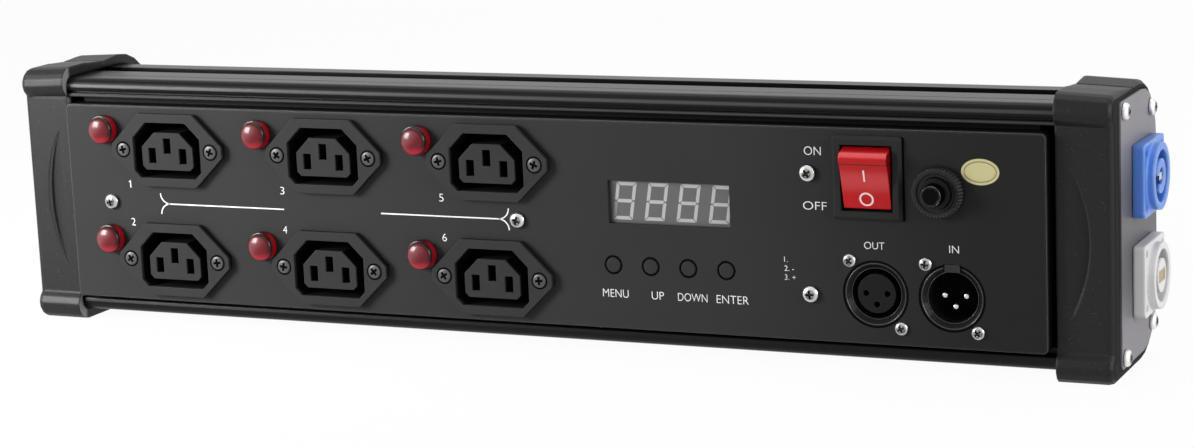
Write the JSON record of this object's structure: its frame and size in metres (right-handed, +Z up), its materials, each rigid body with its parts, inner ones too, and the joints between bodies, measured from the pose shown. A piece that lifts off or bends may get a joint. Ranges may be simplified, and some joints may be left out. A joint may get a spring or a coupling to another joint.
{
  "type": "dmx switch pack",
  "caption": "Black bar-shaped lighting switch pack with mains outlets, red indicator lamps, display, keys, red rocker, signal and power connectors.",
  "frame": {"origin": "middle of the footprint, at the height of the end caps' feet", "axes": "+X along the bar towards the power connectors, the front panel faces -Y, +Z up"},
  "size_m": [0.4594, 0.0768, 0.1037],
  "materials": {
    "housing_anodised": "satin black anodised extrusion",
    "panel_paint": "satin black powder coat",
    "cap_plastic": "fine textured black moulding",
    "plate_paint": "grey satin sheet",
    "outlet_plastic": "black moulded sockets",
    "lamp_lens": "glossy red translucent lens",
    "display_face": "grey face with light segments",
    "key_plastic": "black key caps",
    "rocker_plastic": "glossy red rocker",
    "connector_plastic": "black connector moulding",
    "inlet_plastic": "blue connector moulding",
    "outlet_grey": "light grey connector moulding",
    "nickel": "nickel plated",
    "brass": "plain spacer",
    "board": "printed circuit board",
    "relay_plastic": "blue relay case",
    "supply_plastic": "black potted case"
  },
  "bodies": {
    "pack": {"housing_extrusion": "housing_anodised", "front_panel": "panel_paint", "left_end_cap": "cap_plastic", "right_end_cap": "cap_plastic", "left_end_plate": "plate_paint", "right_end_plate": "plate_paint", "outlet_1": "outlet_plastic", "outlet_2": "outlet_plastic", "outlet_3": "outlet_plastic", "outlet_4": "outlet_plastic", "outlet_5": "outlet_plastic", "outlet_6": "outlet_plastic", "indicator_lamp_1": "lamp_lens", "indicator_lamp_2": "lamp_lens", "indicator_lamp_3": "lamp_lens", "indicator_lamp_4": "lamp_lens", "indicator_lamp_5": "lamp_lens", "indicator_lamp_6": "lamp_lens", "display_module": "display_face", "rocker_frame": "connector_plastic", "breaker_body": "connector_plastic", "breaker_nut": "connector_plastic", "signal_out_socket": "connector_plastic", "signal_in_plug": "connector_plastic", "power_inlet": "inlet_plastic", "power_outlet": "outlet_grey", "left_screw_upper_front": "nickel", "left_screw_upper_back": "nickel", "left_screw_lower_front": "nickel", "left_screw_lower_back": "nickel", "right_screw_upper_front": "nickel", "right_screw_upper_back": "nickel", "right_screw_lower_front": "nickel", "right_screw_lower_back": "nickel", "panel_screw_left": "nickel", "panel_screw_middle": "nickel", "panel_screw_upper_right": "nickel", "panel_screw_lower_right": "nickel", "standoff_left": "brass", "standoff_middle_front": "brass", "standoff_middle_back": "brass", "standoff_upper_right": "brass", "standoff_lower_right": "brass", "control_board": "board", "relay_board": "board", "relay_1": "relay_plastic", "relay_2": "relay_plastic", "relay_3": "relay_plastic", "relay_4": "relay_plastic", "relay_5": "relay_plastic", "relay_6": "relay_plastic", "power_supply": "supply_plastic", "terminal_block": "supply_plastic"},
    "rocker": {"rocker": "rocker_plastic"},
    "breaker_button": {"breaker_button": "key_plastic"},
    "key_menu": {"key_menu": "key_plastic"},
    "key_up": {"key_up": "key_plastic"},
    "key_down": {"key_down": "key_plastic"},
    "key_enter": {"key_enter": "key_plastic"}
  },
  "joints": [
    {"name": "rocker_tilt", "type": "hinge", "parent": "pack", "child": "rocker", "pos_m": [0.13415, -0.02635, 0.0722], "axis": [-1, 0, 0], "range_deg": [0, 20]},
    {"name": "breaker_pop", "type": "slide", "parent": "pack", "child": "breaker_button", "axis": [0, -1, 0], "range_m": [0, 0.004]},
    {"name": "key_menu_press", "type": "slide", "parent": "pack", "child": "key_menu", "axis": [0, 1, 0], "range_m": [0, 0.0005], "stiffness_N_per_m": 600, "springref_m": -0.0005},
    {"name": "key_up_press", "type": "slide", "parent": "pack", "child": "key_up", "axis": [0, 1, 0], "range_m": [0, 0.0005], "stiffness_N_per_m": 600, "springref_m": -0.0005},
    {"name": "key_down_press", "type": "slide", "parent": "pack", "child": "key_down", "axis": [0, 1, 0], "range_m": [0, 0.0005], "stiffness_N_per_m": 600, "springref_m": -0.0005},
    {"name": "key_enter_press", "type": "slide", "parent": "pack", "child": "key_enter", "axis": [0, 1, 0], "range_m": [0, 0.0005], "stiffness_N_per_m": 600, "springref_m": -0.0005}
  ]
}
